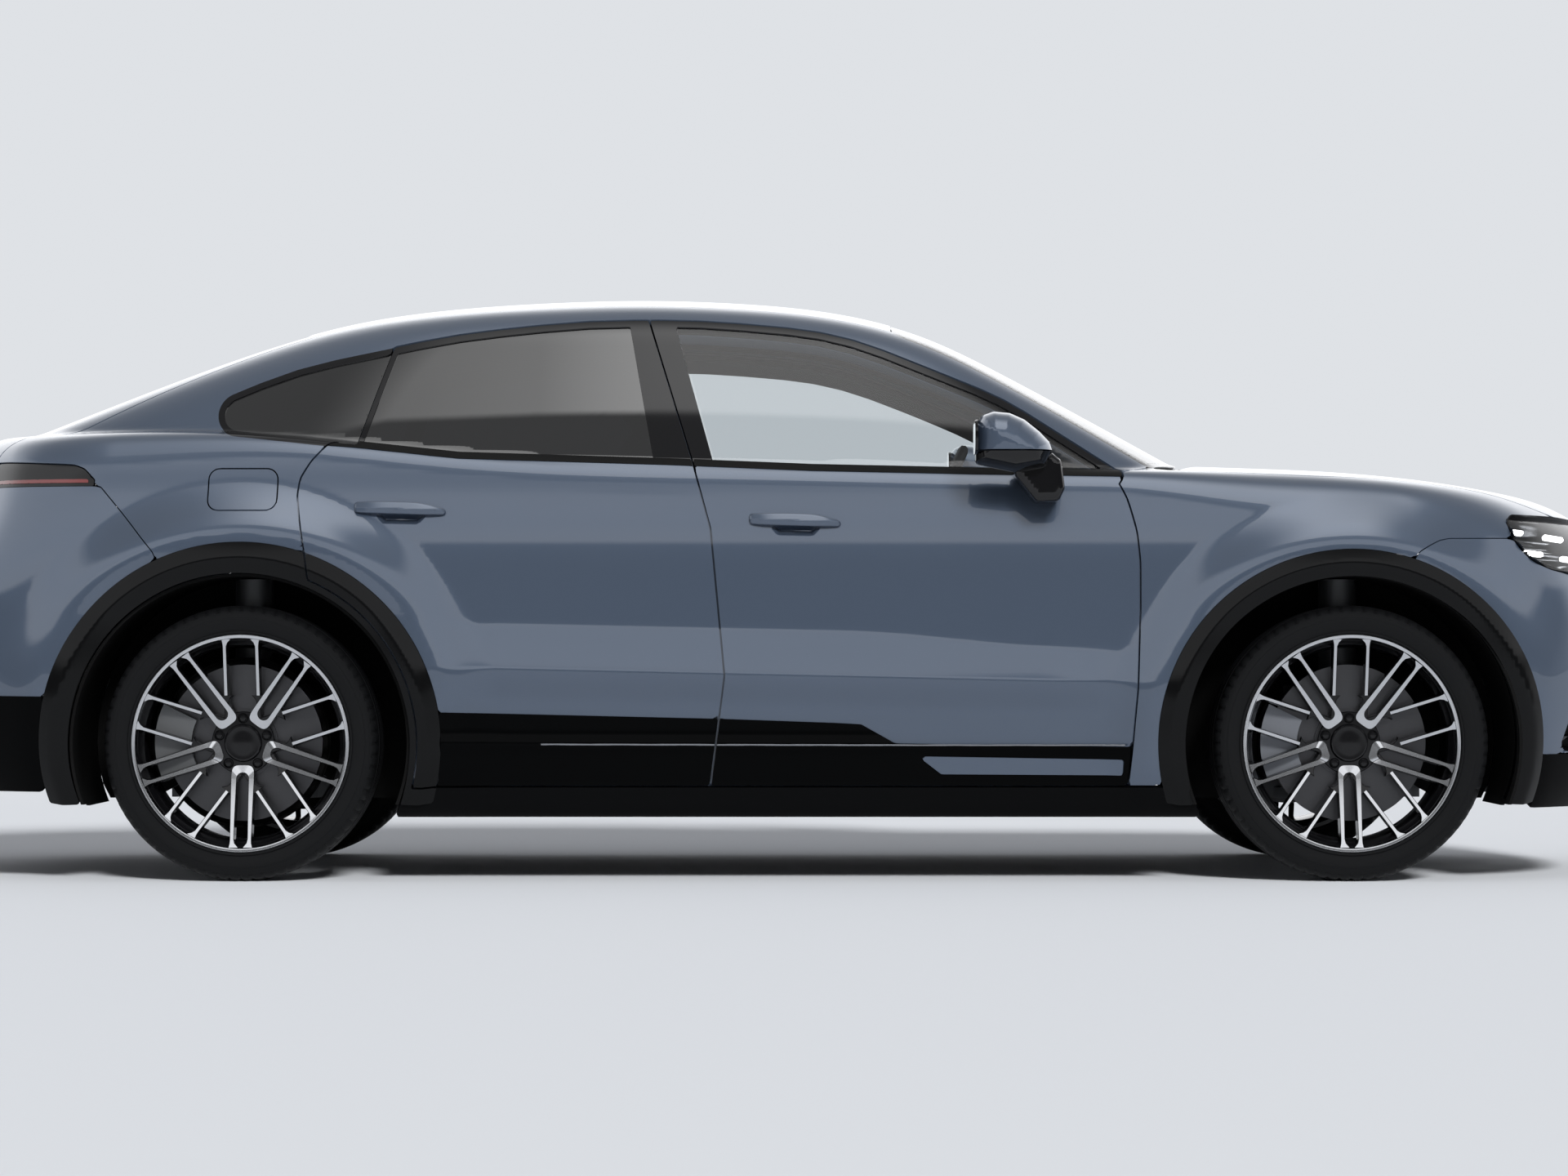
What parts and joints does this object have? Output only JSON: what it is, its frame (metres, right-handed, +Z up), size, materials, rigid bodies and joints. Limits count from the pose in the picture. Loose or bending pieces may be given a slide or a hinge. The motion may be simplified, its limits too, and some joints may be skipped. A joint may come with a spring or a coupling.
{
  "type": "coupe sport utility vehicle",
  "caption": "Full-size coupe-roofed sport utility vehicle with opening doors, hood, tailgate and charging flap, steered front wheels and turning wheels.",
  "frame": {"origin": "on the ground, midway between the two ends and on the centre plane", "axes": "+X forward, +Y to the vehicle's left, +Z up"},
  "size_m": [4.9818, 2.364, 1.64],
  "materials": {
    "body_paint": "metallic gloss",
    "clear_glass": "clear",
    "dark_glass": "dark tint",
    "black_plastic": "satin",
    "lamp_lens": "clear gloss",
    "red_lens": "gloss",
    "steel": "satin",
    "aluminium_case": "cast",
    "suspension_metal": "cast",
    "trim_plastic": "satin",
    "seat_leather": "satin",
    "tyre": "matte",
    "wheel_alloy": "gloss black with machined faces",
    "brake_iron": "machined"
  },
  "bodies": {
    "body": {"side_frames": "body_paint", "front_fenders": "body_paint", "front_bumper": "body_paint", "rear_bumper": "body_paint", "roof_panel": "body_paint", "windshield": "clear_glass", "quarter_glass": "dark_glass", "cowl_panel": "black_plastic", "headlamps": "lamp_lens", "tail_lamps": "red_lens", "floor_pan": "steel", "battery_pack": "aluminium_case", "front_structure": "steel", "arch_liners": "black_plastic", "front_axle": "suspension_metal", "rear_axle": "suspension_metal", "drive_unit_front": "aluminium_case", "drive_unit_rear": "aluminium_case", "dashboard": "trim_plastic", "front_seats": "seat_leather", "rear_seat": "seat_leather"},
    "hood": {"hood": "body_paint"},
    "tailgate": {"tailgate": "body_paint", "tailgate_glass": "dark_glass", "tailgate_lamp": "red_lens"},
    "charge_flap": {"charge_flap": "body_paint"},
    "steering_wheel": {"steering_wheel": "trim_plastic"},
    "door_front_right": {"door_front_right": "body_paint", "door_glass_front_right": "clear_glass", "mirror_right": "body_paint"},
    "door_rear_right": {"door_rear_right": "body_paint", "door_glass_rear_right": "dark_glass"},
    "knuckle_front_right": {"knuckle_front_right": "suspension_metal"},
    "door_front_left": {"door_front_left": "body_paint", "door_glass_front_left": "clear_glass", "mirror_left": "body_paint"},
    "door_rear_left": {"door_rear_left": "body_paint", "door_glass_rear_left": "dark_glass"},
    "knuckle_front_left": {"knuckle_front_left": "suspension_metal"},
    "wheel_front_right": {"tyre_front_right": "tyre", "rim_front_right": "wheel_alloy", "brake_rotor_front_right": "brake_iron"},
    "wheel_front_left": {"tyre_front_left": "tyre", "rim_front_left": "wheel_alloy", "brake_rotor_front_left": "brake_iron"},
    "wheel_rear_right": {"tyre_rear_right": "tyre", "rim_rear_right": "wheel_alloy", "brake_rotor_rear_right": "brake_iron"},
    "wheel_rear_left": {"tyre_rear_left": "tyre", "rim_rear_left": "wheel_alloy", "brake_rotor_rear_left": "brake_iron"}
  },
  "joints": [
    {"name": "hood_hinge", "type": "hinge", "parent": "body", "child": "hood", "pos_m": [1.115, 0, 1.16], "axis": [0, -1, 0], "range_deg": [0, 55]},
    {"name": "tailgate_hinge", "type": "hinge", "parent": "body", "child": "tailgate", "pos_m": [-1.262, 0, 1.5395], "axis": [0, 1, 0], "range_deg": [0, 78]},
    {"name": "charge_flap_hinge", "type": "hinge", "parent": "body", "child": "charge_flap", "pos_m": [-1.341, -0.9185, 1.012], "axis": [0, 0.2611, 0.9653], "range_deg": [0, 80]},
    {"name": "door_front_right_hinge", "type": "hinge", "parent": "body", "child": "door_front_right", "pos_m": [1.008, -0.961, 0.7], "axis": [0, 0, 1], "range_deg": [0, 65]},
    {"name": "door_rear_right_hinge", "type": "hinge", "parent": "body", "child": "door_rear_right", "pos_m": [-0.122, -0.965, 0.7], "axis": [0, 0, 1], "range_deg": [0, 65]},
    {"name": "door_front_left_hinge", "type": "hinge", "parent": "body", "child": "door_front_left", "pos_m": [1.008, 0.961, 0.7], "axis": [0, 0, -1], "range_deg": [0, 65]},
    {"name": "door_rear_left_hinge", "type": "hinge", "parent": "body", "child": "door_rear_left", "pos_m": [-0.122, 0.965, 0.7], "axis": [0, 0, -1], "range_deg": [0, 65]},
    {"name": "steer_front_left", "type": "hinge", "parent": "body", "child": "knuckle_front_left", "pos_m": [1.5865, 0.772, 0.376], "axis": [0, 0, 1], "range_deg": [-32, 32]},
    {"name": "steer_front_right", "type": "hinge", "parent": "body", "child": "knuckle_front_right", "pos_m": [1.5865, -0.772, 0.376], "axis": [0, 0, 1], "range_deg": [-32, 32]},
    {"name": "steering_wheel_turn", "type": "hinge", "parent": "body", "child": "steering_wheel", "pos_m": [0.5, 0.37, 1.062], "axis": [-0.9063, 0, 0.4226], "range_deg": [-448, 448]},
    {"name": "wheel_front_right_spin", "type": "hinge", "parent": "knuckle_front_right", "child": "wheel_front_right", "pos_m": [1.5865, -0.832, 0.376], "axis": [0, 1, 0], "continuous": true},
    {"name": "wheel_front_left_spin", "type": "hinge", "parent": "knuckle_front_left", "child": "wheel_front_left", "pos_m": [1.5865, 0.832, 0.376], "axis": [0, 1, 0], "continuous": true},
    {"name": "wheel_rear_right_spin", "type": "hinge", "parent": "body", "child": "wheel_rear_right", "pos_m": [-1.4365, -0.832, 0.376], "axis": [0, 1, 0], "continuous": true},
    {"name": "wheel_rear_left_spin", "type": "hinge", "parent": "body", "child": "wheel_rear_left", "pos_m": [-1.4365, 0.832, 0.376], "axis": [0, 1, 0], "continuous": true}
  ],
  "couplings": [
    {"joint": "steer_front_right", "follows": "steer_front_left", "ratio": 1},
    {"joint": "steering_wheel_turn", "follows": "steer_front_left", "ratio": 14}
  ]
}
